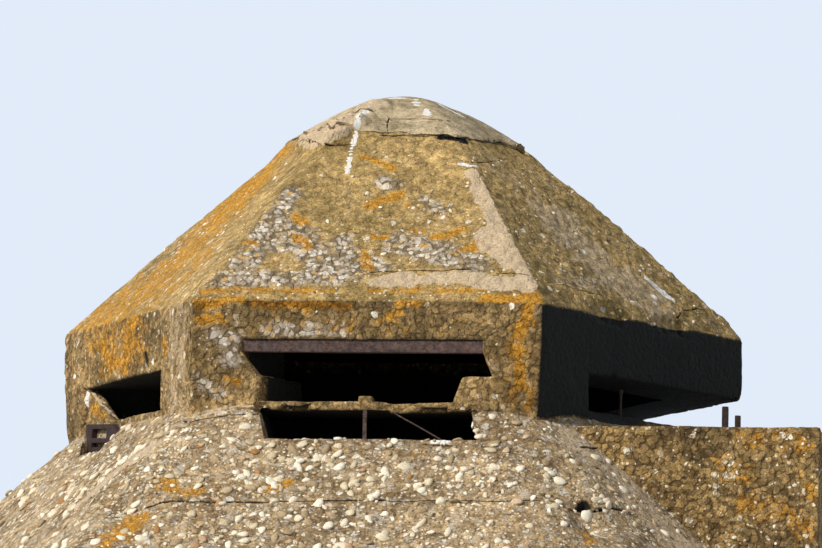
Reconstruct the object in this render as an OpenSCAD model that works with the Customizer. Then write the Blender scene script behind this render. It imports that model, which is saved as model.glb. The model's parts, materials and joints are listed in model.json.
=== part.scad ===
// Six-sided concrete observation post with a domed roof, its sloping apron and a side block.
// Millimetres, +Z up, front face towards -Y. Origin on the chamber's axis, at the foot of the apron.

/* [Plan] */
// Radius from the axis to an outer corner of the chamber
corner_r = 3000; // [2600:50:3400]
// Thickness of the chamber walls
wall_t = 600; // [450:10:700]

/* [Levels] */
// Height of the upright foot under the apron
foot_h = 300; // [200:10:450]
// Height of the apron's lower lift above the foot
lower_lift_h = 813; // [700:1:950]
// Height of the apron's upper lift, up to the foot of the walls
upper_lift_h = 887; // [780:1:980]
// Thickness of the floor cast on the base slab
floor_t = 450; // [300:10:550]
// Height of the slits' lintels above the foot of the walls
slit_head = 400; // [340:5:450]
// Height of the eave above the foot of the walls
wall_h = 935; // [860:5:1050]

/* [Observation slits] */
// Thickness of the sills on the left and at the back
sill_t = 60; // [40:5:90]
// Height to which the apron's slope runs on over the two right sills
right_sill_t = 100; // [60:5:120]
// Thickness of the front sill, which is a thin slab over the lower slit
front_sill_t = 80; // [60:5:100]
// Height of the lump of concrete left standing on the front sill
sill_lump_h = 48; // [20:2:70]
// Width of that lump
sill_lump_w = 130; // [80:5:180]
// Width of the two notches in the underside of the front sill
sill_notch_w = 205; // [120:5:260]
// Height of those notches
sill_notch_h = 34; // [16:2:44]
// Splay of the slits' cheeks, in degrees
cheek_splay = 25.5; // [15:0.5:30]
// Distance of the front slit's left cheek from the middle of the face
front_left_cheek = 908; // [800:4:1000]
// Distance of the front slit's right cheek from the middle of the face
front_right_cheek = 1080; // [980:4:1150]
// Height at which the front slit's ends start to lean to the left
front_lean_h = 300; // [240:5:360]
// How far the top left end of the front slit is broken back
front_left_break = 156; // [60:2:200]
// How far the top right end of the front slit leans in
front_right_lean = 90; // [40:2:140]
// Height of the front slit, up to the top of its steel lintel
front_slit_h = 605; // [560:5:680]
// Length of a pillar along a side face, next to the front or back corner
near_pillar_w = 700; // [600:10:900]
// Length of the left pillar along each of its two faces
left_pillar_w = 490; // [350:10:600]
// Distance of the infill in the front left slit from the middle of the face, at its foot
infill_foot = 390; // [200:10:500]
// Distance of the infill's top from the middle of the face
infill_top = 960; // [700:10:980]
// How far the infill stands back from the wall's outer face
infill_setback = 40; // [20:5:80]
// Thickness of the infill
infill_t = 100; // [60:5:200]

// Width of the lump in the front slit's lower right corner, at its foot
lump_foot_w = 336; // [250:4:400]
// Width of that lump at its top, where the slit's end starts to lean
lump_top_w = 261; // [200:3:330]
// Distance of that lump behind the wall's face
lump_setback = 50; // [30:5:80]
// Thickness of that lump
lump_t = 120; // [80:5:200]

/* [Lower slit] */
// Width of the slit through the apron, under the front sill
lower_slit_w = 1810; // [1500:10:2000]
// Height of that slit
lower_slit_h = 270; // [200:5:320]
// How far the slit's foot stands to the right of its top
lower_slit_lean = 85; // [0:5:120]

/* [Roof] */
// Height by which the dome's top lies below the point where the six slopes would meet
dome_cut = 461; // [420:1:520]
// Half width of the worn, flat top of the dome
dome_flat = 130; // [60:5:200]
// Distance from the axis at which the slopes start to round over into the dome
dome_ap = 905; // [850:5:980]
// Depth of the solid crown below the level where the dome starts
crown_foot = 193; // [60:1:400]
// Thickness of the domed cap over the crown
cap_t = 20; // [14:1:40]
// How far the cap runs down the slopes below the dome, measured level
cap_run = 20; // [0:5:60]

/* [Side block] */
// How far the block's front and back faces stand inside the chamber's
block_inset = 248; // [100:4:500]
// Distance of the block's end face beyond the chamber's right corner
block_reach = 850; // [600:10:1200]
// Height of the block's top below the foot of the walls
block_drop = 80; // [50:5:160]

/* [Access] */
// Side of the square hatch in the floor
hatch_w = 900; // [700:10:1100]

/* [Steelwork] */
// Depth of the steel lintel beam over the front slit
beam_h = 104; // [90:2:140]
// Width of the beam's flanges
beam_w = 90; // [70:2:120]
// Distance of the beam from the wall's outer face
beam_setback = 25; // [15:1:40]
// Thickness of the beam's flanges
beam_flange_t = 14; // [8:1:18]
// Thickness of the beam's web
beam_web_t = 10; // [6:1:14]
// Length of beam built into the concrete at each end
beam_bearing = 60; // [40:5:120]
// Side of the square post in the lower slit
sill_post_w = 36; // [24:1:50]
// Diameter of the round brace in the lower slit
brace_d = 18; // [12:1:26]
// Distance of the brace's top from the middle of the face
brace_top = 230; // [150:5:320]
// Distance of the brace's foot from the middle of the face
brace_foot = 720; // [600:5:800]
// Diameter of the rod in the right slit
rod_d = 22; // [16:1:30]
// Diameter of the knob on top of the rod
knob_d = 38; // [30:1:50]
// Height of the rod above the foot of the walls, with its knob
rod_h = 330; // [260:5:360]
// Distance of the rod from the middle of the face
rod_across = 160; // [80:5:260]
// Distance of the rod from the wall's outer face
rod_setback = 120; // [60:5:300]

/* [Slotted plate] */
// Thickness of the plate in the left side of the apron
plate_t = 50; // [30:2:60]
// Width of its top edge
plate_w = 676; // [600:4:740]
// Height of the plate
plate_h = 251; // [220:1:280]
// How far the plate's pointed right end stands out beyond its top edge
plate_tip = 156; // [100:2:200]
// Depth of that point below the top edge
plate_tip_drop = 78; // [50:2:110]
// Width of the plate's foot
plate_foot_w = 600; // [520:5:640]
// How far the foot starts to the right of the upper left corner
plate_foot_inset = 136; // [80:2:180]
// Distance of the upper left corner from the middle of the face
plate_end = 855; // [800:5:900]
// Height of that corner above the foot of the walls
plate_rise = 79; // [50:1:100]
// Tilt of the plate, in degrees
plate_tilt = 5; // [0:0.5:8]
// Width of the plate's upper slot
upper_slot_w = 340; // [250:5:420]
// Height of the upper slot
upper_slot_h = 78; // [50:2:90]
// Width of the plate's lower slot
lower_slot_w = 475; // [350:5:520]
// Height of the lower slot
lower_slot_h = 35; // [20:1:50]
// Width of the plate left of the slots
slot_margin = 200; // [140:5:220]
// Width of the bars over and between the slots
slot_bar = 44; // [30:2:60]
// Room left round the plate at both ends of its notch
notch_end_gap = 6; // [2:1:60]
// Angle by which the notch's near side turns away from square to the wall, so that it hides nothing
notch_splay = 66; // [60:1:75]
// Room left under the plate in its notch
notch_foot_gap = 5; // [2:1:40]

/* [Stub posts] */
// Side of the tall stub post on the block
tall_stub_w = 55; // [40:1:80]
// Height of the tall stub post
tall_stub_h = 185; // [140:5:240]
// Side of the short stub post
short_stub_w = 50; // [40:1:80]
// Height of the short stub post
short_stub_h = 110; // [80:5:150]
// Distance of the tall stub post from the block's end
stub_inset = 845; // [700:5:1000]
// Distance from the tall to the short stub post
stub_gap = 110; // [90:5:200]
// Distance of both from the block's front
stub_setback = 150; // [80:5:300]

/* [Hidden] */
FACES = ["front", "front_right", "back_right", "back", "back_left", "front_left"];
function sill_name(face) = face == "back" ? "back_wall" : str("sill_", face);

$fn = 64;
far = 12000;
over = 20;

// Plan, with face 0 in front and the rest numbered round to the right
wall_ap = corner_r * cos(30);
room_ap = wall_ap - wall_t;
function half_face(apothem) = apothem * tan(30);
function face_angle(i) = 60 * i;
function on_face(i, across, out) = [
    out * sin(face_angle(i)) + across * cos(face_angle(i)),
    across * sin(face_angle(i)) - out * cos(face_angle(i))
];

// Levels above the base
joint_z = foot_h + lower_lift_h;
wall_z = joint_z + upper_lift_h;
floor_z = foot_h + floor_t;
head_z = wall_z + slit_head;
eave_z = wall_z + wall_h;
front_head_z = wall_z + front_slit_h;
block_z = wall_z - block_drop;
block_half_w = wall_ap - block_inset;
block_end = corner_r + block_reach;
foot_ap = wall_ap + wall_z - foot_h;
joint_ap = wall_ap + wall_z - joint_z;

// Dome: [distance from the axis, depth below its top], from the flat top to the slopes of 45 degrees
roof_peak_z = eave_z + wall_ap;
dome_top_z = roof_peak_z - dome_cut;
ceiling_ap = dome_ap + crown_foot;
ceiling_z = roof_peak_z - ceiling_ap;
cap_z = roof_peak_z - dome_ap - cap_run;
DOME = [
    [dome_flat, 0], [270, 57], [365, 96], [455, 135], [545, 182],
    [636, 235], [727, 296], [818, 363], [dome_ap, dome_ap - dome_cut - cap_t]
];

cheek_step = wall_t * tan(cheek_splay);

// Shapes that the pieces are cut from

// Upright hexagonal prism with a flat face in front
module hexagon(apothem, low, high) {
    translate([0, 0, low])
        cylinder(r = apothem / cos(30), h = high - low, $fn = 6);
}

// Drawing of [distance from the axis, height], run straight along face i
module run_face(i, length = far) {
    rotate([0, 0, face_angle(i)])
        rotate([90, 0, -90])
            linear_extrude(height = length, center = true)
                children();
}

// Part of a straight run that lies between the two corner planes of face i
module face_sector(i) {
    rotate([0, 0, face_angle(i)])
        linear_extrude(height = far)
            polygon([[0, 0], [-half_face(far), -far], [half_face(far), -far]]);
}

module face_panel(i) {
    intersection() {
        run_face(i)
            children();
        face_sector(i);
    }
}

// Six-sided body whose section through opposite faces is the given drawing of [distance, height]
module six_sided() {
    intersection_for (i = [0:2])
        run_face(i)
            children();
}

// Apron

module apron_lower(i) {
    color([0.55, 0.50, 0.40])
        face_panel(i)
            polygon([[room_ap, foot_h], [foot_ap, foot_h], [joint_ap, joint_z], [room_ap, joint_z]]);
}

module apron_upper(i) {
    color([0.60, 0.55, 0.44])
        difference() {
            face_panel(i)
                polygon([[room_ap, joint_z], [joint_ap, joint_z], [wall_ap, wall_z], [room_ap, wall_z]]);
            if (i == 0)
                lower_slit();
            if (i == 5)
                left_frame_seat();
        }
}

// Slit through the apron under the front sill, with ends that lean to the left
module lower_slit() {
    low = wall_z - lower_slit_h;
    rotate([90, 0, 0])
        linear_extrude(height = joint_ap)
            polygon([
                [lower_slit_lean - lower_slit_w / 2, low], [lower_slit_lean + lower_slit_w / 2, low],
                [lower_slit_w / 2, wall_z], [-lower_slit_w / 2, wall_z]
            ]);
}

module base_slab() {
    color([0.52, 0.48, 0.39])
        difference() {
            hexagon(foot_ap, 0, foot_h);
            hatch();
        }
}

module chamber_floor() {
    color([0.50, 0.47, 0.40])
        difference() {
            hexagon(room_ap, foot_h, floor_z);
            hatch();
        }
}

module hatch() {
    translate([0, 0, floor_z / 2])
        cube([hatch_w, hatch_w, floor_z + 2 * over], center = true);
}

// Walls

// Ends of the slit on face i, from the middle of the face to the left and to the right cheek.
// An end at the right corner has no cheek, because the slit runs on round the corner.
function slit_left(i) =
    i == 0 ? front_left_cheek :
    i == 2 ? half_face(wall_ap) :
    i == 3 ? front_right_cheek :
    half_face(wall_ap) - (i == 5 ? left_pillar_w : near_pillar_w);
function slit_right(i) =
    i == 0 ? front_right_cheek :
    i == 1 ? half_face(wall_ap) :
    i == 3 ? front_left_cheek :
    half_face(wall_ap) - (i == 4 ? left_pillar_w : near_pillar_w);

// Half width of a slit at the room's face of the wall, where the splayed cheeks end
function inner_end(outer_end) =
    outer_end < half_face(wall_ap) ? outer_end - cheek_step : half_face(room_ap);

// Plan of the slit, or at the back of the wall, between the pillars of face i
function slit_plan(i) = [
    on_face(i, -slit_left(i), wall_ap),
    on_face(i, slit_right(i), wall_ap),
    on_face(i, inner_end(slit_right(i)), room_ap),
    on_face(i, -inner_end(slit_left(i)), room_ap)
];

// Front slit above its sill: splayed cheeks, then ends that lean to the left up to the steel lintel,
// where the right end runs straight back
module front_opening() {
    top_left = front_left_cheek + front_left_break;
    top_right = front_right_cheek - front_right_lean;
    lean_z = wall_z + front_lean_h;
    outer_y = -wall_ap - over;
    translate([0, 0, wall_z])
        linear_extrude(height = front_lean_h)
            polygon(slit_plan(0));
    intersection() {
        translate([0, 0, lean_z - 1])
            linear_extrude(height = far)
                polygon([
                    [-top_left, outer_y], [front_right_cheek, outer_y],
                    [front_right_cheek, over - room_ap], [-inner_end(top_left), over - room_ap],
                    [-inner_end(top_left), -room_ap], [-top_left, -wall_ap]
                ]);
        rotate([90, 0, 0])
            linear_extrude(height = far)
                polygon([
                    [-front_left_cheek, lean_z], [front_right_cheek, lean_z],
                    [top_right, front_head_z - beam_h], [top_right, front_head_z],
                    [-top_left, front_head_z], [-top_left, front_head_z - beam_h]
                ]);
    }
}

// Corner pillar between faces i and i + 1
module pillar(i) {
    before = i == 0 ? slit_right(i) - front_right_lean : slit_right(i);
    after = slit_left((i + 1) % 6);
    color([0.50, 0.46, 0.37]) {
        difference() {
            translate([0, 0, wall_z])
                linear_extrude(height = slit_head)
                    polygon([
                        on_face(i, half_face(wall_ap), wall_ap),
                        on_face(i, before, wall_ap),
                        on_face(i, inner_end(before), room_ap),
                        on_face(i, half_face(room_ap), room_ap),
                        on_face(i + 1, -inner_end(after), room_ap),
                        on_face(i + 1, -after, wall_ap)
                    ]);
            if (i == 0 || i == 5)
                front_opening();
        }
        if (i == 0)
            corner_lump();
    }
}

// Lump of concrete left in the lower right corner of the front slit, on the sill
module corner_lump() {
    end = front_right_cheek - lump_setback * tan(cheek_splay);
    low = wall_z + front_sill_t;
    top = wall_z + front_lean_h;
    translate([0, lump_setback + lump_t - wall_ap, 0])
        rotate([90, 0, 0])
            linear_extrude(height = lump_t)
                polygon([
                    [end, low], [front_right_cheek - lump_foot_w, low],
                    [front_right_cheek - lump_top_w, top], [end, top]
                ]);
}

// Sill between the pillars of face i. The back has no slit, so there it is a wall as high as the pillars.
module sill(i) {
    color([0.56, 0.52, 0.42])
        if (i == 0)
            front_sill();
        else if (i == 1 || i == 2)
            sloped_sill(i);
        else if (i == 3)
            plain_sill(i, slit_head);
        else {
            plain_sill(i, sill_t);
            if (i == 5)
                slit_infill();
        }
}

module plain_sill(i, height) {
    translate([0, 0, wall_z])
        linear_extrude(height = height)
            polygon(slit_plan(i));
}

// Sill whose outer edge goes on with the apron's slope
module sloped_sill(i) {
    intersection() {
        plain_sill(i, right_sill_t);
        run_face(i)
            polygon([
                [0, wall_z], [wall_ap, wall_z],
                [wall_ap - right_sill_t, wall_z + right_sill_t], [0, wall_z + right_sill_t]
            ]);
    }
}

// Wedge of concrete that fills the lower far corner of the front left slit
module slit_infill() {
    end = infill_setback * tan(cheek_splay) - slit_left(5);
    back_end = end + infill_t * tan(cheek_splay);
    outer = infill_setback - wall_ap;
    rotate([0, 0, face_angle(5)])
        intersection() {
            translate([0, outer + infill_t, 0])
                rotate([90, 0, 0])
                    linear_extrude(height = infill_t)
                        polygon([
                            [end, wall_z], [-infill_foot, wall_z], [-infill_foot, wall_z + sill_t],
                            [-infill_top, head_z], [end, head_z]
                        ]);
            linear_extrude(height = far)
                polygon([[end, outer], [0, outer], [0, outer + infill_t], [back_end, outer + infill_t]]);
        }
}

// Thin front sill with a lump on its outer edge and two notches broken out of its underside
module front_sill() {
    notch_places = [-1, 1];
    difference() {
        union() {
            translate([0, 0, wall_z])
                linear_extrude(height = front_sill_t)
                    polygon(slit_plan(0));
            translate([-sill_lump_w / 2, -wall_ap, wall_z])
                cube([sill_lump_w, 2 * sill_lump_w, front_sill_t + sill_lump_h]);
        }
        for (side = notch_places)
            translate([side * lower_slit_w / 3 - sill_notch_w / 2, -wall_ap - over, wall_z - over])
                cube([sill_notch_w, 2 * sill_notch_h + over, sill_notch_h + over]);
    }
}

// Band of wall over the slit of face i, up to the eave
module hood(i) {
    color([0.48, 0.44, 0.33])
        difference() {
            face_panel(i)
                translate([room_ap, head_z])
                    square([wall_t, eave_z - head_z]);
            if (i == 0) {
                front_opening();
                beam_solid();
            }
        }
}

// Roof

// Slope of face i between the eave and the ceiling, hollow underneath
module roof_panel(i) {
    color([0.55, 0.52, 0.36])
        face_panel(i)
            polygon([
                [room_ap, eave_z], [wall_ap, eave_z],
                [ceiling_ap, ceiling_z], [ceiling_ap - wall_t, ceiling_z]
            ]);
}

// Section of the roof above a level, with the dome raised by a layer that runs on down the slopes
module roof_section(low, layer) {
    foot = [roof_peak_z - low + layer, low];
    right = [foot, for (n = [len(DOME) - 1:-1:0]) [DOME[n][0], dome_top_z - cap_t - DOME[n][1] + layer]];
    left = [for (n = [len(right) - 1:-1:0]) [-right[n][0], right[n][1]]];
    polygon(concat(right, left));
}

// Solid top of the roof, whose six slopes round over and meet in a dome
module roof_crown() {
    color([0.57, 0.53, 0.39])
        crown_solid();
}

module crown_solid() {
    six_sided()
        roof_section(ceiling_z, 0);
}

// Layer of render over the dome, with its lower edge standing out over the slopes
module roof_cap() {
    color([0.63, 0.59, 0.47])
        difference() {
            six_sided()
                roof_section(cap_z, cap_t);
            crown_solid();
        }
}

// Side block, which stands against the apron

module side_block() {
    color([0.54, 0.50, 0.38])
        difference() {
            translate([0, -block_half_w, 0])
                cube([block_end, 2 * block_half_w, block_z]);
            six_sided()
                polygon([
                    [-foot_ap, -over], [foot_ap, -over], [foot_ap, foot_h],
                    [wall_ap, wall_z], [-wall_ap, wall_z], [-foot_ap, foot_h]
                ]);
        }
}

// Steelwork

// Channel across the front slit, open towards the room and built into the hood at both ends
module beam_solid() {
    left_end = front_left_cheek + front_left_break;
    right_end = front_right_cheek - front_right_lean;
    length = left_end + right_end + 2 * beam_bearing;
    low = front_head_z - beam_h;
    outer = wall_ap - beam_setback;
    inner = outer - beam_w;
    translate([(right_end - left_end) / 2, 0, 0])
        run_face(0, length)
            polygon([
                [inner, low], [outer, low], [outer, front_head_z], [inner, front_head_z],
                [inner, front_head_z - beam_flange_t], [outer - beam_web_t, front_head_z - beam_flange_t],
                [outer - beam_web_t, low + beam_flange_t], [inner, low + beam_flange_t]
            ]);
}

module lintel_beam() {
    color([0.30, 0.20, 0.18])
        beam_solid();
}

// Post under the middle of the front sill, and a thin brace that leans down to the right of it
module lower_slit_bars() {
    lean = atan((brace_foot - brace_top) / lower_slit_h);
    color([0.26, 0.17, 0.14])
        intersection() {
            union() {
                translate([-sill_post_w / 2, -wall_ap, wall_z - far])
                    cube([sill_post_w, sill_post_w, far]);
                translate([brace_top, -wall_ap, wall_z])
                    rotate([0, -lean, 0])
                        translate([0, 0, -far / 4])
                            cylinder(d = brace_d, h = far / 2);
            }
            lower_slit();
        }
}

// Rod with a round knob, standing on the right sill
module slit_post() {
    place = on_face(1, -rod_across, wall_ap - rod_setback);
    knob_z = wall_z + rod_h - knob_d;
    color([0.28, 0.20, 0.17])
        translate(place) {
            translate([0, 0, wall_z + right_sill_t])
                cylinder(d = rod_d, h = knob_z - wall_z - right_sill_t);
            translate([0, 0, knob_z])
                cylinder(d = knob_d, h = knob_d);
        }
}

// Notch in the apron that the plate stands in. It widens from the plate's far end to its near end.
module left_frame_seat() {
    plate_low = plate_rise - (plate_foot_inset + plate_foot_w) * sin(plate_tilt) - plate_h * cos(plate_tilt);
    depth = notch_foot_gap - plate_low;
    length = plate_w + plate_tip + 2 * notch_end_gap;
    narrow = plate_t + notch_end_gap;
    rotate([0, 0, face_angle(5)])
        translate([-plate_end - notch_end_gap, -wall_ap, wall_z - depth])
            linear_extrude(height = depth + over)
                polygon([[0, 0], [0, -narrow], [length, -narrow - length / tan(notch_splay)], [length, 0]]);
}

// Steel plate with two slots, one over the other, that stands tilted in its notch against the wall's face
module left_frame() {
    color([0.28, 0.14, 0.12])
        rotate([0, 0, face_angle(5)])
            translate([-plate_end, -wall_ap, wall_z + plate_rise])
                rotate([90, 0, 0])
                    rotate([0, 0, -plate_tilt])
                        linear_extrude(height = plate_t)
                            difference() {
                                polygon([
                                    [0, 0], [plate_w, 0], [plate_w + plate_tip, -plate_tip_drop],
                                    [plate_foot_inset + plate_foot_w, -plate_h], [plate_foot_inset, -plate_h]
                                ]);
                                translate([slot_margin, -slot_bar - upper_slot_h])
                                    square([upper_slot_w, upper_slot_h]);
                                translate([slot_margin, -2 * slot_bar - upper_slot_h - lower_slot_h])
                                    square([lower_slot_w, lower_slot_h]);
                            }
}

// Two stumps of posts on the block, near its front edge
module stub_posts() {
    color([0.25, 0.18, 0.15])
        translate([block_end - stub_inset, stub_setback - block_half_w, block_z]) {
            cube([tall_stub_w, tall_stub_w, tall_stub_h]);
            translate([stub_gap, 0, 0])
                cube([short_stub_w, short_stub_w, short_stub_h]);
        }
}

base_slab();
chamber_floor();
for (i = [0:5]) apron_lower(i);
for (i = [0:5]) apron_upper(i);
pillar(0);  // pillar_front_right
pillar(2);  // pillar_back_right
pillar(3);  // pillar_back_left
pillar(4);  // pillar_left
pillar(5);  // pillar_front_left
for (i = [0:5]) sill(i);
for (i = [0:5]) hood(i);
for (i = [0:5]) roof_panel(i);
roof_crown();
roof_cap();
side_block();
lintel_beam();
lower_slit_bars();
slit_post();
left_frame();
stub_posts();
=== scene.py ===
import json
import math
from collections import defaultdict

import bmesh
import bpy
import numpy as np
from mathutils import Matrix, Vector
from mathutils.bvhtree import BVHTree
from mathutils.geometry import delaunay_2d_cdt, tessellate_polygon
from numpy.linalg import norm


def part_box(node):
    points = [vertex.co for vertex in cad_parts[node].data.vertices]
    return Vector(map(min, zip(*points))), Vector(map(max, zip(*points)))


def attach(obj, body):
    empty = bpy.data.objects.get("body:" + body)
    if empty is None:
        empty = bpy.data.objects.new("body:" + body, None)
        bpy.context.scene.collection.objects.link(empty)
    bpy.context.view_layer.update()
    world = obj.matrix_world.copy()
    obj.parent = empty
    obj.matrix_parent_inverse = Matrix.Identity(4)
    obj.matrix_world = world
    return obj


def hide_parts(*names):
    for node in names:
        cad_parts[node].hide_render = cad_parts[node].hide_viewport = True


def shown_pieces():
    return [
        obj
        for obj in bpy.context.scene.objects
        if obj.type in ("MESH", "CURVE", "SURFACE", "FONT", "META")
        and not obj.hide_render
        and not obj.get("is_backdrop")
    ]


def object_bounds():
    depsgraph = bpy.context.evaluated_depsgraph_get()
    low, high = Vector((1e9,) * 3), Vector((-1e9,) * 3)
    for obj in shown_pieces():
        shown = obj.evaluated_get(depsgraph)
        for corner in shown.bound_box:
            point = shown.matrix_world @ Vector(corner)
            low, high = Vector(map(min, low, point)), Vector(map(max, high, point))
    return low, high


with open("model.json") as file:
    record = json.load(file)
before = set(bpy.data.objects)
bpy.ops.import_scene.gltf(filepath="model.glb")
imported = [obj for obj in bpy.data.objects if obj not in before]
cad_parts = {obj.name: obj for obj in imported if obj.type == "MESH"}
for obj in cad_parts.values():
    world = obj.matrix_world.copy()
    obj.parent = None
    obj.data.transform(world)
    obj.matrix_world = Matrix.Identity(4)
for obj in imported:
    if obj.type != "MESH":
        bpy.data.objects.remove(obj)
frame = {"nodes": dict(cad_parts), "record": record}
CAD_LOW, CAD_HIGH = (np.array(corner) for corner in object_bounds())

# Levels and distances from the axis, read off the CAD solids
WALL_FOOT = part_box("pillar_left")[0].z
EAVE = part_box("hood_front")[1].z
WALL_OUT = -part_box("hood_front")[0].y
ROOM_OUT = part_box("chamber_floor")[1].y
WALL_THICKNESS = WALL_OUT - ROOM_OUT
CAP_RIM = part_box("roof_cap")[0].z
CAP_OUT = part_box("roof_cap")[1].y
CROWN_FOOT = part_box("roof_crown")[0].z
BLOCK_LOW, BLOCK_HIGH = (np.array(corner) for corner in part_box("side_block"))
STEEL_NODES = ["lintel_beam", "lower_slit_bars", "left_frame", "stub_posts"]
CONCRETE_NODES = [name for name in frame["nodes"] if name not in STEEL_NODES + ["slit_post"]]
SLOTS = {row["node"]: row["material_slot"] for row in frame["record"]["subparts"]}
SUN_AZIMUTH, SUN_ELEVATION = math.radians(45), math.radians(36)
TO_SUN = np.array([-math.sin(SUN_AZIMUTH) * math.cos(SUN_ELEVATION),
                   -math.cos(SUN_AZIMUTH) * math.cos(SUN_ELEVATION), math.sin(SUN_ELEVATION)])
COARSER = 1.0

# Distances between a skin's points, in metres
ROOM_SPACING, APRON_SPACING, WALL_SPACING, STEEL_SPACING = 0.12, 0.04, 0.027, 0.016
# Faces this close lie against each other, and an edge shorter than this is left out
TOUCHING, SHORTEST_EDGE = 0.002, 1e-3
# Pixels between the points of a mark and of a crack
MARK_STEP, CRACK_STEP = 3, 1.6
# How far the rounding reaches from a plain edge, a blunt sloping edge and one of the apron's
EDGE_REACH, SLOPE_REACH, APRON_REACH = 0.020, 0.04, 0.50
# Depth of the chips along an edge, and how far they reach from it
CHIP_DEPTH, CHIP_REACH = 0.022, 0.06
# How far a crack may lie off a face, how near its rim, and how near other points may come to it
CRACK_OFF, CRACK_RIM, CRACK_CLEAR = 0.008, 0.006, 0.016

rng = np.random.default_rng(11)


def new_object(name, data):
    thing = bpy.data.objects.new(name, data)
    bpy.context.scene.collection.objects.link(thing)
    return thing


# Camera

PHOTO_WIDTH, PHOTO_HEIGHT = 822, 548
FOCAL_PIXELS = 8506.26


def make_camera():
    """Long-lens camera far off and a little below the walls, rolled by about a degree."""
    turn, roll, distance, below = math.radians(6.7501), math.radians(1.2061), 74.3444, 7.6967
    place = Vector((distance * math.sin(turn), -distance * math.cos(turn), WALL_FOOT - below))
    ahead = (Vector((0, 0, WALL_FOOT)) - place).normalized()
    right = ahead.cross(Vector((0, 0, 1))).normalized()
    up = right.cross(ahead)
    aim = (ahead * FOCAL_PIXELS + right * 7.357 + up * 168.88).normalized()
    side = aim.cross(up * math.cos(roll) - right * math.sin(roll)).normalized()
    top = side.cross(aim)
    data = bpy.data.cameras.new("photo_camera")
    data.sensor_width = 36
    data.lens = 36 * FOCAL_PIXELS / PHOTO_WIDTH
    data.clip_end = 500
    camera = new_object("photo_camera", data)
    camera.matrix_world = Matrix((side, top, -aim)).transposed().to_4x4()
    camera.matrix_world.translation = place
    bpy.context.scene.camera = camera
    return place, side, top, aim


CAMERA_PLACE, CAMERA_SIDE, CAMERA_TOP, CAMERA_AIM = make_camera()


# Flat faces of the CAD solids, and what covers what

def unit(vector):
    return vector / norm(vector)


def sides(corners):
    """Each corner with the next one."""
    return zip(corners, np.roll(corners, -1, axis=0))


def flat_faces(name):
    """The node's faces as whole polygons: [(corners, normal)]."""
    bm = bmesh.new()
    bm.from_mesh(frame["nodes"][name].data)
    bmesh.ops.remove_doubles(bm, verts=bm.verts, dist=1e-5)
    bmesh.ops.dissolve_limit(bm, angle_limit=math.radians(0.4), verts=bm.verts, edges=bm.edges)
    faces = [(np.round([v.co for v in f.verts], 5), np.array(f.normal)) for f in bm.faces]
    bm.free()
    return faces


SOLID_FACES = {name: flat_faces(name) for name in frame["nodes"]}


def solids_tree():
    """Search tree over all solids, with each face's node and normal."""
    corners, polygons, owners, normals = [], [], [], []
    for name, faces in SOLID_FACES.items():
        for face, normal in faces:
            polygons.append(list(range(len(corners), len(corners) + len(face))))
            corners.extend(Vector(c) for c in face)
            owners.append(name)
            normals.append(normal)
    return BVHTree.FromPolygons(corners, polygons), owners, normals


ALL_TREE, FACE_OWNER, FACE_NORMAL = solids_tree()
CORNERS = np.unique(np.concatenate([face for faces in SOLID_FACES.values() for face, _ in faces]), axis=0)


def distance_out(points):
    """Distance from the axis, measured square to the six wall faces."""
    points = np.asarray(points)
    turns = [math.radians(60 * i) for i in range(6)]
    return np.max([points[..., 0] * math.sin(a) - points[..., 1] * math.cos(a) for a in turns], axis=0)


def is_covered(point, normal, name):
    """True where another solid's face lies against this one."""
    for _, _, index, _ in ALL_TREE.find_nearest_range(Vector(point), TOUCHING):
        if FACE_OWNER[index] != name and FACE_NORMAL[index] @ normal < -0.95:
            return True
    return False


def face_samples(corners):
    """Points spread over a flat face, some of them near its corners."""
    shares = np.array([(1, 1, 1), (7, 1, 1), (1, 7, 1), (1, 1, 7)])
    shares = shares / shares.sum(1)[:, None]
    triangles = tessellate_polygon([[Vector(c) for c in corners]])
    return [share @ corners[list(triangle)] for triangle in triangles[:14] for share in shares]


def is_inside_room(point):
    """True on the room's faces and on the roof's underside, which slopes at 45 degrees."""
    out = distance_out(point)
    return out < ROOM_OUT + 0.02 and point[2] < min(EAVE + WALL_OUT - out - 0.15, CROWN_FOOT + 0.1)


def spacing_at(point):
    """Distance between a skin's points: close outside, wide in the room and on the underside."""
    if is_inside_room(point) or point[2] < 0.01:
        return ROOM_SPACING * COARSER
    return (WALL_SPACING if point[2] > WALL_FOOT - 0.01 else APRON_SPACING) * COARSER


def split_edge(a, b, spacing):
    """Points along an edge, from a up to but not b, the same for every face that meets there."""
    length = norm(b - a)
    along = (CORNERS - a) @ (b - a) / length
    off = norm(CORNERS - a - np.outer(along / length, b - a), axis=1)
    between = CORNERS[(off < 4e-4) & (along > SHORTEST_EDGE) & (along < length - SHORTEST_EDGE)]
    stops = [a] + sorted(between, key=lambda c: (c - a) @ (b - a)) + [b]
    points = []
    for start, end in zip(stops, stops[1:]):
        if norm(end - start) < SHORTEST_EDGE:
            continue
        first, last = (start, end) if tuple(start) < tuple(end) else (end, start)
        step = spacing or spacing_at((start + end) / 2)
        count = max(1, round(norm(end - start) / step))
        steps = [first + (last - first) * k / count for k in range(count + 1)]
        points.extend((steps if first is start else steps[::-1])[:-1])
    return points


# Smooth random numbers

def hashed(cells, seed):
    mixed = cells[..., 0] * 374761393 + cells[..., 1] * 668265263 + cells[..., 2] * 1442695041
    mixed = (mixed + seed * 974634777) & 0xFFFFFFFF
    mixed = ((mixed ^ (mixed >> 13)) * 1274126177) & 0xFFFFFFFF
    return ((mixed ^ (mixed >> 16)) & 0xFFFF) / 32767.5 - 1


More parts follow.
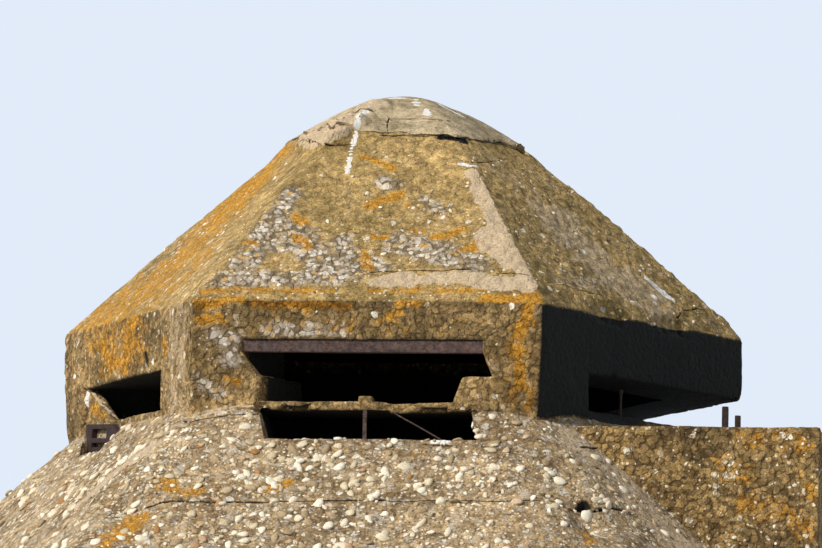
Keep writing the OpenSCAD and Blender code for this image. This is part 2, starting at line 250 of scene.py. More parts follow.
def waver(points, size, seed):
    """Smooth random number from -1 to 1 that changes over the given distance."""
    scaled = np.asarray(points) / size + 1000.0
    cells = np.floor(scaled).astype(np.int64)
    part = scaled - cells
    part = part * part * (3 - 2 * part)
    total = np.zeros(len(scaled))
    for corner in range(8):
        offset = np.array([corner & 1, corner >> 1 & 1, corner >> 2 & 1])
        weight = np.prod(np.where(offset == 1, part, 1 - part), axis=1)
        total += weight * hashed(cells + offset, seed)
    return total


def waver_3d(points, size, seed):
    return np.stack([waver(points, size, seed + k) for k in range(3)], axis=1)


# Marks of weather, drawn where the photograph shows them and laid on the solids

def seen(x, y):
    """Point and normal of the solid under a pixel of the photograph."""
    right, down = x - PHOTO_WIDTH / 2, y - PHOTO_HEIGHT / 2
    away = CAMERA_AIM * FOCAL_PIXELS + CAMERA_SIDE * right - CAMERA_TOP * down
    place, normal, _, _ = ALL_TREE.ray_cast(CAMERA_PLACE, away.normalized())
    return (np.array(place), np.array(normal)) if place else None


def laid_line(pixels, step):
    """Points and normals on the solids along a line of pixels, a step of pixels apart."""
    hits = []
    if len(pixels) == 1:
        pixels = pixels * 2
    for (x0, y0), (x1, y1) in zip(pixels, pixels[1:]):
        count = max(1, round(math.hypot(x1 - x0, y1 - y0) / step))
        hits += [seen(x0 + (x1 - x0) * k / count, y0 + (y1 - y0) * k / count) for k in range(count + 1)]
    hits = [hit for hit in hits if hit]
    return np.array([h[0] for h in hits]), np.array([h[1] for h in hits])


# Each mark: half width in millimetres, amount, pixels, and how many millimetres it is raised, if at all
MARKS = {
    "lichen": [
        # Orange lichen along the front eave and down the front wall
        (60, 1, [(196, 302), (240, 298)]), (55, 1, [(198, 320), (222, 320)]),
        (45, 0.8, [(254, 304), (272, 306)]), (50, 0.9, [(282, 304), (304, 305)]),
        (35, 0.8, [(311, 305), (350, 306)]), (45, 0.9, [(364, 254), (372, 272)]),
        (45, 0.8, [(380, 322), (398, 312)]), (45, 1, [(400, 302), (420, 302)]),
        (40, 0.7, [(318, 332), (350, 328)]), (70, 1, [(480, 301), (538, 299)]),
        (90, 0.9, [(528, 308), (522, 330), (516, 352)]), (65, 0.9, [(518, 364), (523, 384)]),
        (50, 0.8, [(532, 388), (532, 405)]), (80, 0.45, [(505, 312), (503, 350)]),
        (90, 0.45, [(505, 385), (512, 404)]), (35, 0.9, [(226, 378), (238, 382)]),
        (120, 0.38, [(250, 326), (470, 328)]),
        # The same on the left wall
        (110, 1, [(138, 308), (131, 330), (127, 352)]), (80, 1, [(104, 343), (108, 360), (126, 366)]),
        (260, 0.6, [(92, 338), (115, 340), (140, 336)]), (60, 0.7, [(164, 338), (165, 352)]),
        (120, 0.5, [(90, 372), (140, 362)]), (60, 0.9, [(94, 408), (103, 415)]),
        # Orange lichen on the roof
        (75, 1, [(293, 217), (303, 223)]), (65, 1, [(298, 240), (308, 246)]),
        (50, 0.9, [(246, 243), (256, 244)]), (75, 1, [(372, 207), (384, 202), (400, 197)]),
        (55, 1, [(364, 158), (380, 163), (393, 170)]), (50, 1, [(434, 240), (448, 238), (465, 231)]),
        (60, 1, [(462, 254), (473, 251), (482, 246)]), (45, 0.9, [(364, 252), (367, 270)]),
        (40, 0.9, [(374, 238), (388, 240)]), (45, 0.8, [(406, 208), (412, 210)]),
        (45, 0.8, [(414, 232), (424, 236)]), (55, 0.8, [(204, 292), (240, 290), (330, 292)]),
        (40, 0.8, [(372, 292), (480, 293)]), (600, 0.72, [(262, 172), (215, 225), (150, 290), (100, 318)]),
        (400, 0.62, [(200, 262), (160, 298)]), (180, 1, [(262, 178), (240, 200), (222, 216)]),
        # Orange lichen on the apron and the block
        (190, 1, [(108, 538), (132, 514)]), (110, 1, [(162, 480), (180, 492), (198, 491)]),
        (85, 1, [(270, 489), (286, 482)]), (110, 0.8, [(590, 520), (592, 532)]),
        (120, 0.5, [(745, 440), (775, 436), (808, 448)]), (140, 0.5, [(726, 466), (745, 482)]),
        (150, 0.5, [(752, 500), (812, 530)]), (60, 0.6, [(800, 470), (812, 495)]),
    ],
    "crust": [
        # Grey and white crust, thick with small stones
        (170, 1, [(282, 196), (276, 222), (258, 250), (236, 276)], 4),
        (170, 1, [(292, 232), (310, 252), (330, 270)], 4), (80, 1, [(384, 184), (394, 186)], 3),
        (110, 0.8, [(340, 240), (352, 262), (380, 268)], 3),
        (150, 0.9, [(400, 244), (440, 256), (474, 266)], 4),
        (130, 1, [(222, 283), (290, 280), (352, 276)], 4), (90, 0.8, [(424, 202), (440, 214)], 3),
        (160, 0.45, [(556, 282), (600, 286)]), (200, 0.4, [(140, 285), (190, 240)]),
        (100, 1, [(216, 334), (234, 346), (230, 358)], 3), (60, 0.8, [(196, 375), (218, 392)]),
        (80, 0.7, [(270, 330), (340, 332)]),
    ],
    "stony": [
        # Beds where the beach stones lie thickest
        (160, 1, [(255, 452), (300, 458), (330, 462)]), (120, 1, [(240, 472), (262, 486), (300, 488)]),
        (140, 1, [(340, 462), (362, 490), (390, 486)]), (110, 1, [(425, 488), (442, 474)]),
        (110, 0.9, [(478, 462), (486, 478)]), (80, 0.9, [(455, 506), (462, 508)]),
        (350, 0.8, [(60, 500), (130, 470), (170, 440)]), (300, 0.7, [(200, 535), (400, 540)]),
        (200, 0.6, [(600, 470), (650, 530)]),
    ],
    "mortar": [
        # Mortar along the front eave, the hips and the dome's left side
        (100, 1, [(378, 283), (400, 282), (414, 283)], 12), (85, 1, [(428, 282), (452, 281), (468, 283)], 10),
        (105, 1, [(484, 284), (505, 285), (526, 287)], 12),
        (120, 0.8, [(488, 238), (496, 252), (508, 264)], 6),
        (90, 0.85, [(474, 176), (490, 212), (510, 248), (526, 276)], 10),
        (260, 0.45, [(177, 314), (178, 404)]), (360, 0.52, [(582, 440), (614, 475), (654, 515), (684, 545)]),
        (420, 0.5, [(560, 225), (590, 262), (640, 296)]), (300, 0.42, [(500, 170), (530, 200)]),
        (110, 0.8, [(314, 144), (336, 137), (358, 124)], 26),
        (160, 0.6, [(308, 142), (338, 129), (372, 110)], 36),
        (100, 0.8, [(150, 446), (118, 472), (88, 498)], 6), (22, 0.9, [(182, 408), (254, 407)], 20),
        (18, 1, [(427, 441), (452, 441)], 20), (30, 0.9, [(90, 392), (110, 412), (124, 421)]),
    ],
    "white": [
        # Droppings and pale runs
        (50, 1, [(648, 283), (660, 293), (670, 302)], 2), (34, 1, [(652, 299)]), (28, 1, [(652, 305)]),
        (28, 1, [(680, 298)]), (28, 1, [(583, 254)]), (27, 1, [(370, 112), (358, 127), (352, 149)], 2),
        (24, 1, [(352, 149), (348, 174)], 2), (30, 1, [(390, 99), (402, 98)]),
        (32, 1, [(416, 99), (417, 105)]), (28, 1, [(427, 109), (427, 114)]),
        (28, 1, [(440, 104), (462, 116)]), (32, 1, [(461, 166), (474, 168)]), (28, 1, [(386, 157)]),
        (38, 1, [(88, 391), (89, 403)]), (36, 1, [(434, 441), (450, 441)]),
    ],
    "soot": [
        # Painted shade, near black, on the side that the sun never reaches
        (750, 1, [(550, 345), (600, 355), (660, 365), (738, 372)]), (350, 1, [(550, 392), (586, 397)]),
    ],
    "crack": [
        # Holes, painted near black as their shade from outside
        (40, 1, [(441, 137), (452, 137), (465, 140)], -20), (40, 1, [(519, 148), (523, 152)], -20),
        (26, 1, [(145, 354), (146, 361)], -20), (36, 1, [(584, 496), (590, 496)], -30),
    ],
    "damp": [
        # Damp and moss that darken the concrete
        (55, 1, [(252, 302), (300, 302), (350, 304)]), (50, 0.7, [(420, 302), (478, 304)]),
        (160, 0.6, [(500, 350), (510, 380), (514, 404)]), (60, 0.8, [(536, 340), (536, 400)]),
        (300, 0.3, [(630, 440), (660, 470), (690, 520)]), (80, 0.5, [(196, 312), (200, 400)]),
        (70, 0.7, [(70, 345), (70, 430)]),
    ],
}

# Bites out of the edges: (radius and depth in millimetres, pixels)
BITES = [
    (100, 50, [(600, 310), (622, 318)]),
    (90, 45, [(664, 325), (680, 327)]),
    (50, 40, [(521, 149)]),
    (50, 30, [(208, 305)]),
    (70, 35, [(262, 412), (262, 408)]),
    (60, 30, [(473, 414)]),
]

# Each crack: (half width and depth in millimetres, pixels)
CRACKS = [
    (10, 26, [(382, 137), (410, 136), (440, 135), (466, 138)]),
    (18, 45, [(440, 136), (452, 135), (465, 137)]),
    (10, 26, [(390, 120), (420, 118), (451, 121)]),
    (6, 18, [(388, 119), (387, 135)]),
    (9, 26, [(468, 139), (500, 144), (522, 151)]),
    (6, 18, [(461, 162), (485, 163), (505, 159)]),
    (16, 40, [(299, 149), (318, 140), (332, 133), (345, 123), (360, 114), (371, 115)]),
    (8, 20, [(300, 147), (325, 146), (352, 146)]),
    (8, 24, [(372, 274), (400, 272), (440, 273), (470, 273)]),
    (7, 22, [(500, 275), (531, 279)]),
    (7, 20, [(536, 253), (550, 261), (564, 270)]),
    (6, 18, [(546, 284), (575, 291), (607, 301)]),
    (9, 26, [(676, 320), (682, 313), (696, 312), (709, 316)]),
    (13, 34, [(105, 502), (180, 501), (266, 502)]),
    (7, 20, [(266, 502), (320, 501)]),
    (11, 30, [(320, 501), (385, 501)]),
    (7, 20, [(385, 501), (450, 501), (587, 500)]),
    (10, 26, [(182, 415), (258, 414)]),
    (10, 26, [(426, 445), (455, 446)]),
    (7, 12, [(190, 328), (190, 404)]),
    (14, 36, [(583, 447), (590, 448), (598, 448)]),
    (19, 40, [(598, 504), (618, 508), (637, 514)]),
    (24, 50, [(582, 496), (592, 497)]),
]


def half_turned(points):
    return points * np.array([-1, -1, 1])


def lay_marks():
    """Every mark on the solids, and all but the painted shade once more half a turn round, for the unseen
    sides.
    """
    laid = []
    for kind, rows in MARKS.items():
        for width, amount, pixels, *raised in rows:
            points, normals = laid_line(pixels, MARK_STEP)
            facing = unit(normals.mean(0))
            width, raised = width / 1000, sum(raised) / 1000
            laid.append((kind, width, amount, raised, points, facing))
            if kind != "soot":
                laid.append((kind, width, amount, raised, half_turned(points), half_turned(facing)))
    for radius, depth, pixels in BITES:
        points, _ = laid_line(pixels, MARK_STEP)
        for line in (points, half_turned(points)):
            laid.append(("bite", radius / 1000, 1.0, -depth / 1000, line, None))
    return laid


def lay_cracks():
    """Points on the surface in three rows along each crack: [(place, sink, darkness of its painted shade)].
    """
    rows = []
    for half_width, depth, pixels in CRACKS:
        points, normals = laid_line(pixels, CRACK_STEP * COARSER)
        if len(points) < 2:
            continue
        along = np.gradient(points, axis=0)
        across = np.cross(along, normals)
        across /= norm(across, axis=1)[:, None] + 1e-9
        drift = waver(points, 0.09, 40)[:, None] * 0.012
        width = half_width / 1000 * (1 + 0.5 * waver(points, 0.05, 41))[:, None]
        for side, sink, darkness in ((0, depth / 1000, 1.0), (-1, 0, 0.15), (1, 0, 0.15)):
            places = points + across * (drift + side * width)
            for turned in (places, half_turned(places)):
                rows.append((turned, np.full(len(turned), sink), np.full(len(turned), darkness)))
    return tuple(np.concatenate(column) for column in zip(*rows))


LAID_MARKS = lay_marks()
CRACK_PLACES, CRACK_SINKS, CRACK_DARKNESS = lay_cracks()


def near_line(points, line, reach):
    """Which points lie in the box round a line, widened by a reach."""
    return np.all((points > np.min(line, axis=0) - reach) & (points < np.max(line, axis=0) + reach), axis=1)


def mark_amounts(points, facing):
    """How strongly each kind of mark covers each point, from 0 to 1, and how far the marks raise it."""
    amounts = {kind: np.zeros(len(points)) for kind in [*MARKS, "bite"]}
    raised = np.zeros(len(points))
    ragged = 0.32 * waver(points, 0.13, 50) + 0.34 * waver(points, 0.06, 53)
    for kind, width, amount, lift, line, towards in LAID_MARKS:
        near = near_line(points, line, width * 1.7)
        if towards is not None:
            alike = facing @ towards
            # Painted shade takes only faces turned nearly the marked way and not facing up; other marks take
            # faces turned the marked way.
            near &= (alike > 0.62) & (facing[:, 2] < 0.2) if kind == "soot" else alike > 0.8
        if not near.any():
            continue
        gaps = norm(points[near][:, None] - line[None], axis=2).min(1) / width
        soft = {"lichen": 0.9, "crust": 0.9, "stony": 1.0}.get(kind, 0.45)
        strength = np.clip((0.70 + soft / 2 + ragged[near] + 0.25 - gaps) / soft, 0, 1)
        amounts[kind][near] = np.maximum(amounts[kind][near], strength * amount)
        raised[near] += strength * lift
    return amounts, raised


# Skins: each solid's faces, cut up finely and worn

def inside_polygon(points, loop):
    inside = np.zeros(len(points), bool)
    for a, b in sides(loop):
        crosses = (a[1] > points[:, 1]) != (b[1] > points[:, 1])
        rise = b[1] - a[1] if abs(b[1] - a[1]) > 1e-12 else 1e-12
        inside ^= crosses & (points[:, 0] < (b[0] - a[0]) * (points[:, 1] - a[1]) / rise + a[0])
    return inside


def edge_distance(points, loop):
    nearest = np.full(len(points), 1e9)
    for a, b in sides(loop):
        side = b - a
        t = np.clip((points - a) @ side / max(side @ side, 1e-12), 0, 1)
        nearest = np.minimum(nearest, norm(points - a - t[:, None] * side, axis=1))
    return nearest


def flat_basis(normal):
    """Two columns: the directions to the right and up over a flat face."""
    right = unit(np.cross([0, 0, 1] if abs(normal[2]) < 0.9 else [1, 0, 0], normal))
    return np.stack([right, np.cross(normal, right)], axis=1)


def cut_up(corners, normal, grid, edge_spacing):
    """Triangles over one flat face: points, triangles, and each point's crack row or -1."""
    boundary = []
    for a, b in sides(corners):
        boundary += split_edge(a, b, edge_spacing)
    boundary = np.array(boundary)
    origin = corners[0]
    basis = flat_basis(normal)
    loop = (corners - origin) @ basis
    rim = (boundary - origin) @ basis
    crack_rows, inner = np.zeros(0, int), np.zeros((0, 2))
    if grid:
        low, high = loop.min(0), loop.max(0)
        columns = np.arange(low[0], high[0], grid)
        rows = np.arange(low[1], high[1], grid * 0.866)
        x, y = np.meshgrid(columns, rows)
        x[1::2] += grid / 2
        inner = np.stack([x.ravel(), y.ravel()], axis=1)
        inner += rng.uniform(-0.22, 0.22, inner.shape) * grid
        inner = inner[inside_polygon(inner, loop)]
        inner = inner[edge_distance(inner, loop) > 0.45 * grid]
        near = np.where(np.abs((CRACK_PLACES - origin) @ normal) < CRACK_OFF)[0]
        flat = (CRACK_PLACES[near] - origin) @ basis
        keep = inside_polygon(flat, loop) & (edge_distance(flat, loop) > CRACK_RIM)
        crack_rows, flat = near[keep], flat[keep]
        if len(flat):
            gap = np.array([norm(flat - p, axis=1).min() for p in inner])
            inner = np.concatenate([inner[gap > CRACK_CLEAR], flat])
    points = np.concatenate([rim, inner])
    row_of = np.concatenate([np.full(len(points) - len(crack_rows), -1), crack_rows])
    count = len(rim)
    edges = [(k, (k + 1) % count) for k in range(count)]
    flat_points, _, faces, sources, _, _ = delaunay_2d_cdt(list(map(Vector, points)), edges, [], 1, 1e-6)
    places, rows = [], []
    for place, source in zip(flat_points, sources):
        k = source[0] if source else -1
        places.append(boundary[k] if 0 <= k < count else origin + basis @ np.array(place))
        rows.append(row_of[k] if k >= 0 else -1)
    return np.array(places), faces, np.array(rows)


def key_of(point):
    return tuple(np.round(point, 4))


class Skin:
    """Fine triangles over one solid, before they are worn."""

    def __init__(self, name, grid=None):
        self.name = name
        self.places, self.rows, self.faces, self.shown = [], [], [], []
        index = {}
        for corners, normal in SOLID_FACES[name]:
            samples = face_samples(corners)
            middle = np.mean(samples, axis=0)
            hidden = middle[2] < 0.01 or all(is_covered(p, normal, name) for p in samples)
            spacing = None if hidden else grid or spacing_at(middle)
            places, faces, rows = cut_up(corners, normal, spacing, grid)
            numbers = []
            for place, row in zip(places, rows):
                key = key_of(place)
                if key not in index:
                    index[key] = len(self.places)
                    self.places.append(place)
                    self.rows.append(row)
                numbers.append(index[key])
            for face in faces:
                corner_ids = [numbers[k] for k in face]
                if len(set(corner_ids)) == 3:
                    self.faces.append(corner_ids)
                    self.shown.append(not hidden)
            if not hidden:
                note_shown_face(name, corners, normal, places)
        self.places = np.array(self.places)
        self.rows = np.array(self.rows)


SHOWN_NORMALS = defaultdict(list)
SHOWN_EDGES = defaultdict(list)


def note_shown_face(name, corners, normal, places):
    """Remember which way the shown faces point at each place, and what meets at each edge."""
    rim = np.array([key_of(p) for p in places])
    on_seam = edge_distance(*[side @ flat_basis(normal) for side in (rim, corners)]) < 1e-3
    for place, at_rim in zip(places, on_seam):
        if at_rim and is_covered(place, normal, name):
            continue
        known = SHOWN_NORMALS[key_of(place)]
        if not any(n @ normal > 0.99 for n in known):
            known.append(normal)
    for a, b in sides(corners):
        stops = split_edge(a, b, 1e3) + [b]
        for start, end in zip(stops, stops[1:]):
            if norm(end - start) < SHORTEST_EDGE:
                continue
            inward = np.cross(normal, unit(end - start))
            if is_covered((start + end) / 2 + inward * 0.004, normal, name):
                continue
            key = tuple(sorted([key_of(start), key_of(end)]))
            SHOWN_EDGES[key].append((normal, inward))


def worn_edges():
    """Convex edges that the weather reaches: [(start, end, inward, angle)]."""
    edges = []
    for (start, end), meeting in SHOWN_EDGES.items():
        start, end = np.array(start), np.array(end)
        middle = (start + end) / 2
        if is_inside_room(middle) or middle[2] < 0.02:
            continue
        for normal, inward in meeting[1:]:
            other = meeting[0][0]
            turn = math.acos(np.clip(normal @ other, -1, 1))
            if turn > math.radians(3) and inward @ other < -0.03:
                edges.append((start, end, -unit(normal + other), turn))
                break
    return edges


def wear(points, edges):
    """Move of each point where the edges near it are rounded and chipped."""
    moved = np.zeros_like(points)
    roundness = waver(points, 0.35, 60)
    chips = waver(points, 0.085, 61) + 0.6 * waver(points, 0.21, 62)
    for start, end, inward, turn in edges:
        sloping = abs((end - start)[2]) > 0.05 and turn < math.radians(50)
        on_apron = max(start[2], end[2]) < WALL_FOOT + 0.01
        reach = (APRON_REACH if on_apron else SLOPE_REACH) if sloping else EDGE_REACH
        near = near_line(points, [start, end], max(reach * 1.4, CHIP_REACH))
        if not near.any():
            continue
        side = end - start
        t = np.clip((points[near] - start) @ side / (side @ side), 0, 1)
        gap = norm(points[near] - start - t[:, None] * side, axis=1)
        tangent = reach * (1 + 0.4 * roundness[near])
        amount = tangent * math.tan(turn / 4) * np.clip(1 - gap / tangent, 0, 1) ** 2
        chip = np.clip((chips[near] - 0.55) / 0.3, 0, 1) * CHIP_DEPTH * min(1, turn / 0.8)
        amount += chip * (0.4 if sloping else 1) * np.clip(1 - gap / CHIP_REACH, 0, 1)
        moved[near] += amount[:, None] * inward
    return moved


def make_mesh(name, places, faces, amounts):
    mesh = bpy.data.meshes.new(name)
    mesh.from_pydata(places.tolist(), [], [list(map(int, f)) for f in faces])
    for kind, values in amounts.items():
        attribute = mesh.attributes.new(kind, "FLOAT", "POINT")
        attribute.data.foreach_set("value", values.astype(np.float32))
    mesh.polygons.foreach_set("use_smooth", [True] * len(mesh.polygons))
    mesh.validate()
    return mesh


def smoothed(places, faces, movable, rounds):
    """Places drawn towards their neighbours, which rounds the dome's flat bands."""
    faces = np.array(faces)
    pairs = np.concatenate([faces[:, [0, 1]], faces[:, [1, 2]], faces[:, [2, 0]]])
    start, end = np.concatenate([pairs, pairs[:, ::-1]]).T
    degree = np.bincount(start, minlength=len(places))[:, None]
    for _ in range(rounds):
        total = np.stack([np.bincount(start, places[end, k], len(places)) for k in range(3)], axis=1)
        places = np.where(movable[:, None], total / degree, places)
    return places


def even_cracks(moved, flat, cracked):
    """Points along cracks move as their nearest neighbours off the cracks do."""
    plain = np.where(~cracked)[0]
    for k in np.where(cracked)[0]:
        nearest = plain[np.argpartition(((flat[plain] - flat[k]) ** 2).sum(1), 5)[:5]]
        moved[k] = moved[nearest].mean(0)
    return moved


def rounded_dome(skin, flat, shown):
    """The cap as a smooth dome with a wandering lower edge, or the crown sunk under it."""
    away = flat * np.array([1, 1, 0])
    from_axis = norm(away, axis=1)
    away /= from_axis[:, None] + 1e-9
    fuller = np.clip(-away @ CAMERA_SIDE, 0, 1) * np.clip((from_axis - 0.12) / 0.25, 0, 1)
    fuller *= np.clip((flat[:, 2] - CROWN_FOOT) / 0.15, 0, 1) * shown
    lift = fuller[:, None] * np.array([0, 0, 0.034])
    if skin.name == "roof_crown":
        under = np.clip((CAP_OUT - 0.03 - distance_out(flat)) / 0.06, 0, 1) * (flat[:, 2] > CAP_RIM)
        return flat + lift - under[:, None] * np.array([0, 0, 0.06])
    at_rim = np.clip(1 - (flat[:, 2] - CAP_RIM) / 0.12, 0, 1)
    drift = 0.045 * waver(flat, 0.30, 70) + 0.020 * waver(flat, 0.09, 71)
    places = smoothed(flat, skin.faces, shown & (flat[:, 2] > CAP_RIM + 0.035), 24)
    places = flat + even_cracks(places - flat, flat, skin.rows >= 0)
    return places + lift + (at_rim * drift)[:, None] * (away - np.array([0, 0, 1]))


def with_painted_shade(name, soot, flat, out, depth):
    """Painted shade, near black, in the slits and the room, under the roof and on the right-hand sills, and
    on faces turned down or away from the sun, over the marks' own.
    """
    # The steel frame and the stub posts take painted shade all over.
    if name in ("left_frame", "stub_posts"):
        return np.full(len(flat), 0.75)
    if name in STEEL_NODES:
        return soot
    in_slit = (flat[:, 2] > WALL_FOOT - 0.4) & (flat[:, 2] < EAVE - 0.05)
    # Faces turned to the sun keep their colour; the other faces deep in the slits take painted shade.
    sunlit = (out @ TO_SUN > 0.3) & (depth < WALL_THICKNESS - 0.02) & (name != "pillar_left")
    inside = np.clip((depth - 0.04) / 0.08, 0, 1) * in_slit * ~sunlit
    if name == "apron_upper_front":
        inside = np.maximum(inside, in_slit & (np.abs(out[:, 2]) < 0.3))
    elif name.startswith("roof"):
        inside = np.maximum(inside, (out[:, 2] < -0.05) & (flat[:, 2] < CROWN_FOOT + 0.1))
    elif name in ("sill_front_right", "sill_back_right"):
        inside = np.clip((2.35 - flat[:, 0]) / 0.15, 0, 1)
    # Painted shade on the faces turned down in the slits.
    underside_shade = np.clip(-out[:, 2] * 1.6 - 0.6, 0, 1) * in_slit
    return np.maximum(soot, np.maximum(inside, underside_shade))


def pebble_bed(skin, flat, out, depth, shown, amounts):
    """How thickly pebbles lie at each point: none on edges, in the room or inside the block."""
    on_rim = np.array([len(SHOWN_NORMALS.get(key_of(p), ())) != 1 for p in flat])
    in_room = out[:, 2] < 0.02 if skin.name.startswith("roof") else depth > WALL_THICKNESS - 0.05
    in_block = np.all((flat > BLOCK_LOW) & (flat < BLOCK_HIGH), axis=1) & skin.name.startswith("apron")
    bed = ~(on_rim | ~shown | in_room | in_block) * (1 - amounts["soot"])
    bed = bed * (1 - amounts["mortar"]) * (1 - amounts["bite"])
    return bed * (0.55 + 1.6 * amounts["stony"] + 0.8 * amounts["crust"])


def weathered(skin, roughness):
    """A skin's final mesh object, warped, worn, cracked and with its marks."""
    flat, name = skin.places, skin.name
    out = np.array([sum(SHOWN_NORMALS.get(key_of(p), [np.zeros(3)])) for p in flat])
    out /= np.maximum(norm(out, axis=1), 1e-6)[:, None]
    amounts, raised = mark_amounts(flat, out)
    moved = wear(flat, WORN_EDGES) * roughness
    for height, size, seed in ((0.0060, 0.70, 1), (0.0038, 0.19, 4), (0.0026, 0.07, 7)):
        moved += height * roughness * waver_3d(flat, size, seed)
    cracked = skin.rows >= 0
    sink = np.where(cracked, CRACK_SINKS[skin.rows], 0)
    # Points on cracks take the darkness of their painted shade.
    amounts["crack"] = np.maximum(amounts["crack"], np.where(cracked, CRACK_DARKNESS[skin.rows], 0))
    shown = np.zeros(len(flat), bool)
    shown[np.array(skin.faces)[skin.shown].ravel()] = True
    depth = WALL_OUT - distance_out(flat)
    # Painted shade in recesses, on undersides and on faces turned from the sun.
    amounts["soot"] = with_painted_shade(name, amounts["soot"], flat, out, depth)
    if name.startswith("roof_panel"):
        bulge = np.clip((flat[:, 2] - EAVE) / 0.12, 0, 1) * np.clip((CROWN_FOOT - flat[:, 2]) / 0.3, 0, 1)
        raised += bulge * (0.019 + 0.009 * np.clip(flat @ CAMERA_SIDE, -1, 1)) * (out[:, 2] > 0.1)
    amounts["bed"] = pebble_bed(skin, flat, out, depth, shown, amounts)
    height = flat[:, 2] + 0.25 * waver(flat, 0.6, 72) + 0.12 * waver(flat, 0.2, 73)
    amounts["coarse"] = np.clip((EAVE + 1.15 - height) / 0.5, 0, 1)
    base = rounded_dome(skin, flat, shown) if name in ("roof_cap", "roof_crown") else flat
    places = base + moved + out * (raised * (1 + 0.5 * waver(flat, 0.05, 9)) - sink)[:, None]
    mesh = make_mesh("worn_" + name, np.clip(places, CAD_LOW, CAD_HIGH), skin.faces, amounts)
    mesh.set_sharp_from_angle(angle=math.radians(40))
    return new_object("worn_" + name, mesh)


# Materials

def add_node(tree, kind, inputs, **settings):
    """Outputs of a new node. Each input is a value or another node's output."""
    node = tree.nodes.new(kind)
    for name, value in settings.items():
        setattr(node, name, value)
    for name, value in inputs.items():
        if isinstance(value, bpy.types.NodeSocket):
            tree.links.new(value, node.inputs[name])
        else:
            node.inputs[name].default_value = value
    return node.outputs


def math_node(tree, operation, a, b):
    return add_node(tree, "ShaderNodeMath", {0: a, 1: b}, operation=operation)[0]


def vector_node(tree, operation, inputs):
    return add_node(tree, "ShaderNodeVectorMath", inputs, operation=operation)[0]


def between(tree, value, low, high, to_low=0.0, to_high=1.0):
    """Value moved from one range to another, with smooth ends."""
    inputs = {"Value": value, "From Min": low, "From Max": high, "To Min": to_low, "To Max": to_high}
    return add_node(tree, "ShaderNodeMapRange", inputs, interpolation_type="SMOOTHSTEP")[0]


class Coat:
    """A material in the making, with short ways to add to its node tree."""

    def __init__(self, name, roughness):
        self.material = bpy.data.materials.new(name)
        self.material.use_nodes = True
        self.tree = self.material.node_tree
        self.shader = self.tree.nodes["Principled BSDF"]
        self.shader.inputs["Roughness"].default_value = roughness
        self.shader.inputs["Specular IOR Level"].default_value = 0.25
        self.where = self.tree.nodes.new("ShaderNodeTexCoord").outputs["Object"]

    def times(self, a, b):
        return math_node(self.tree, "MULTIPLY", a, b)

    def plus(self, a, b):
        return math_node(self.tree, "ADD", a, b)

    def noise(self, where, scale, detail, rough, output="Fac"):
        inputs = {"Vector": where, "Scale": scale, "Detail": detail, "Roughness": rough}
        return add_node(self.tree, "ShaderNodeTexNoise", inputs)[output]

    def cells(self, where, scale):
        """Distance from each cell's middle, and two random numbers of each cell."""
        voronoi = add_node(self.tree, "ShaderNodeTexVoronoi", {"Vector": where, "Scale": scale})
        numbers = add_node(self.tree, "ShaderNodeSeparateColor", {0: voronoi["Color"]})
        return voronoi["Distance"], numbers[0], numbers[1]

    def between(self, value, low, high, to_low=0.0):
        return between(self.tree, value, low, high, to_low)

    def mark(self, kind):
        return add_node(self.tree, "ShaderNodeAttribute", {}, attribute_name=kind)["Fac"]

    def mix(self, factor, a, b, how="MIX"):
        a, b = ((*colour, 1) if isinstance(colour, tuple) else colour for colour in (a, b))
        inputs = {0: factor, 6: a, 7: b}
        return add_node(self.tree, "ShaderNodeMix", inputs, data_type="RGBA", blend_type=how)[2]

    def ramp(self, value, stops):
        """Colour that follows a value, with its stops: [(place, colour)]."""
        output = add_node(self.tree, "ShaderNodeValToRGB", {"Fac": value})["Color"]
        points = output.node.color_ramp.elements
        while len(points) < len(stops):
            points.new(0.5)
        for point, (place, colour) in zip(points, stops):
            point.position = place
            point.color = (*colour, 1)
        return output

    def shaded(self, colour, value, *stops):
        """Colour made darker and lighter by a value."""
        return self.mix(1.0, colour, self.ramp(value, stops), "MULTIPLY")

    def finished(self, colour, height, strength, distance):
        """The material, with its colour and its bump."""
        self.tree.links.new(colour, self.shader.inputs["Base Color"])
        inputs = {"Strength": strength, "Distance": distance, "Height": height}
        bump = add_node(self.tree, "ShaderNodeBump", inputs)[0]
        self.tree.links.new(bump, self.shader.inputs["Normal"])
        return self.material


STONE_TONES = [
    (0.00, (0.12, 0.085, 0.045)), (0.16, (0.30, 0.22, 0.13)), (0.34, (0.50, 0.38, 0.23)),
    (0.54, (0.76, 0.66, 0.47)), (0.74, (0.95, 0.90, 0.76)), (0.93, (0.88, 0.74, 0.58)),
    (0.985, (0.42, 0.22, 0.08)),
]
CRUST_TONES = [
    (0.00, (0.20, 0.15, 0.085)), (0.20, (0.36, 0.28, 0.19)), (0.42, (0.48, 0.41, 0.33)),
    (0.62, (0.61, 0.55, 0.48)), (0.80, (0.88, 0.81, 0.68)), (0.95, (0.60, 0.36, 0.12)),
]
LICHEN_TONES = [(0.34, (0.20, 0.090, 0.009)), (0.50, (0.56, 0.265, 0.022)), (0.66, (0.89, 0.45, 0.060))]
RUST_TONES = [
    (0.30, (0.022, 0.015, 0.014)), (0.48, (0.085, 0.058, 0.052)), (0.64, (0.16, 0.110, 0.095)),
    (0.78, (0.26, 0.170, 0.125)),
]


